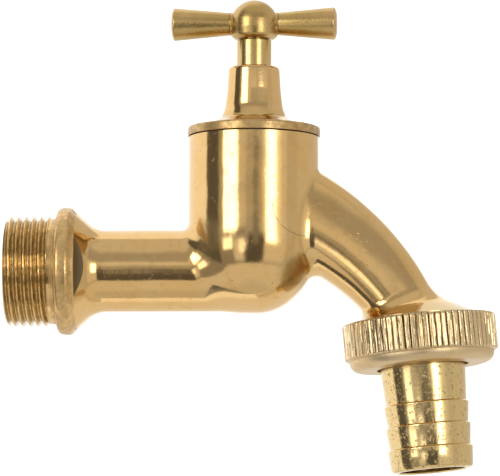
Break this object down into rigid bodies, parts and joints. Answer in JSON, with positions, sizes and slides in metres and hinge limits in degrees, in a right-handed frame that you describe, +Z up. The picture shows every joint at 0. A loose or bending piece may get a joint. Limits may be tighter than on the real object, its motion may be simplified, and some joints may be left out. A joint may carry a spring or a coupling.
{
  "type": "hose bib",
  "caption": "Polished brass garden tap with a T-handle on a rising spindle, a threaded inlet, a swept spout and a knurled union nut holding a barbed hose tail.",
  "frame": {"origin": "centre of the inlet collar's seating shoulder, on the inlet thread's axis", "axes": "+X along the inlet's axis towards the spout, +Z up the spindle, XZ is the mid plane, so +Y points to the back when +X points right"},
  "size_m": [0.1174, 0.0366, 0.1142],
  "materials": {
    "valve_body": "polished",
    "bonnet": "polished",
    "spindle": "polished",
    "valve_disc_holder": "polished",
    "seat_washer_screw": "polished",
    "handle_hub": "polished",
    "handle_arm_left": "polished",
    "handle_arm_right": "polished",
    "union_nut": "polished",
    "hose_tail": "polished",
    "spindle_o_ring_lower": "matt",
    "spindle_o_ring_upper": "matt",
    "seat_washer": "matt",
    "union_gasket": "matt",
    "disc_holder_clip": "satin",
    "handle_grub_screw": "satin",
    "bonnet_gasket": "matt fibre"
  },
  "bodies": {
    "housing": {"valve_body": "valve_body", "bonnet_gasket": "bonnet_gasket", "bonnet": "bonnet"},
    "valve_disc": {"valve_disc_holder": "valve_disc_holder", "disc_holder_clip": "disc_holder_clip", "seat_washer": "seat_washer", "seat_washer_screw": "seat_washer_screw"},
    "spindle_and_handle": {"spindle": "spindle", "spindle_o_ring_lower": "spindle_o_ring_lower", "spindle_o_ring_upper": "spindle_o_ring_upper", "handle_hub": "handle_hub", "handle_arm_left": "handle_arm_left", "handle_arm_right": "handle_arm_right", "handle_grub_screw": "handle_grub_screw"},
    "union_seal": {"union_gasket": "union_gasket"},
    "union_nut": {"union_nut": "union_nut"},
    "hose_tail": {"hose_tail": "hose_tail"}
  },
  "joints": [
    {"name": "valve_lift", "type": "slide", "parent": "housing", "child": "valve_disc", "axis": [0, 0, 1], "range_m": [0, 0.005]},
    {"name": "handle_turn", "type": "hinge", "parent": "valve_disc", "child": "spindle_and_handle", "pos_m": [0.0468, 0, 0.0596], "axis": [0, 0, 1], "range_deg": [0, 900]},
    {"name": "union_draw", "type": "slide", "parent": "housing", "child": "union_seal", "axis": [0.0941, 0, -0.9956], "range_m": [0, 0.004]},
    {"name": "union_nut_turn", "type": "hinge", "parent": "union_seal", "child": "union_nut", "pos_m": [0.0862, 0, -0.0119], "axis": [0.0941, 0, -0.9956], "range_deg": [0, 624]},
    {"name": "hose_tail_swivel", "type": "hinge", "parent": "union_seal", "child": "hose_tail", "pos_m": [0.0862, 0, -0.0119], "axis": [0.0941, 0, -0.9956], "continuous": true}
  ],
  "couplings": [
    {"joint": "handle_turn", "follows": "valve_lift", "rad_per_m": 3141.6},
    {"joint": "union_nut_turn", "follows": "union_draw", "rad_per_m": 2721.2}
  ]
}
